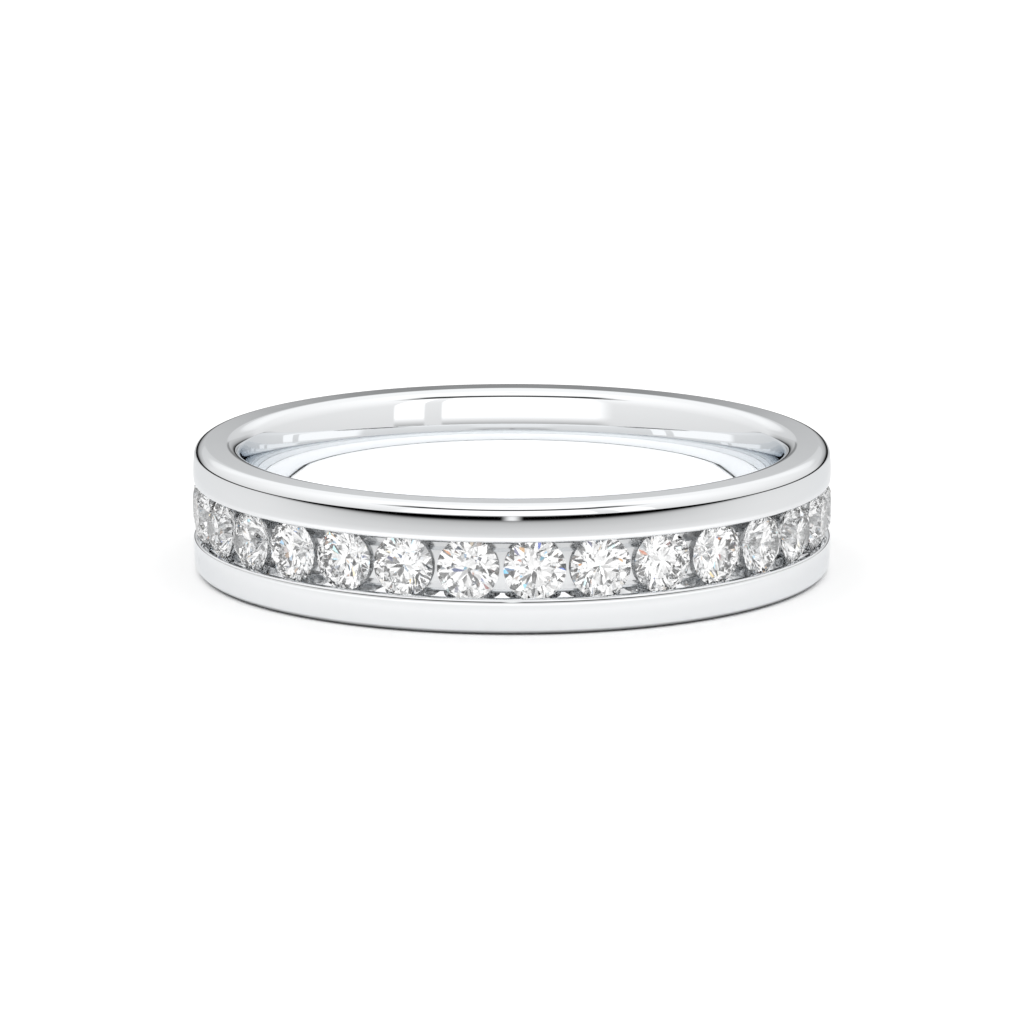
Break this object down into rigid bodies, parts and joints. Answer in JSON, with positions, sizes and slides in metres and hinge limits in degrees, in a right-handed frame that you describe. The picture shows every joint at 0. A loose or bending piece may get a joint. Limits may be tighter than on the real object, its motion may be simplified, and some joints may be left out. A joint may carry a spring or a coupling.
{
  "type": "channel set band",
  "caption": "Round ring of polished white metal with a full row of round brilliant-cut stones held between two rails in a channel; worn on a finger",
  "frame": {"origin": "middle of the flat side that the ring rests on, on the ring's axis", "axes": "+Z is the ring's axis and points up as it lies, -Y is the side seen in the picture, +X is to its right"},
  "size_m": [0.0208, 0.0208, 0.0042],
  "materials": {
    "white_metal": "high polish",
    "cut_stone": "faceted and polished"
  },
  "bodies": {
    "root": {"band": "white_metal", "stone_01": "cut_stone", "stone_02": "cut_stone", "stone_03": "cut_stone", "stone_04": "cut_stone", "stone_05": "cut_stone", "stone_06": "cut_stone", "stone_07": "cut_stone", "stone_08": "cut_stone", "stone_09": "cut_stone", "stone_10": "cut_stone", "stone_11": "cut_stone", "stone_12": "cut_stone", "stone_13": "cut_stone", "stone_14": "cut_stone", "stone_15": "cut_stone", "stone_16": "cut_stone", "stone_17": "cut_stone", "stone_18": "cut_stone", "stone_19": "cut_stone", "stone_20": "cut_stone", "stone_21": "cut_stone", "stone_22": "cut_stone", "stone_23": "cut_stone", "stone_24": "cut_stone", "stone_25": "cut_stone", "stone_26": "cut_stone", "stone_27": "cut_stone", "stone_28": "cut_stone", "stone_29": "cut_stone", "stone_30": "cut_stone"}
  },
  "joints": []
}
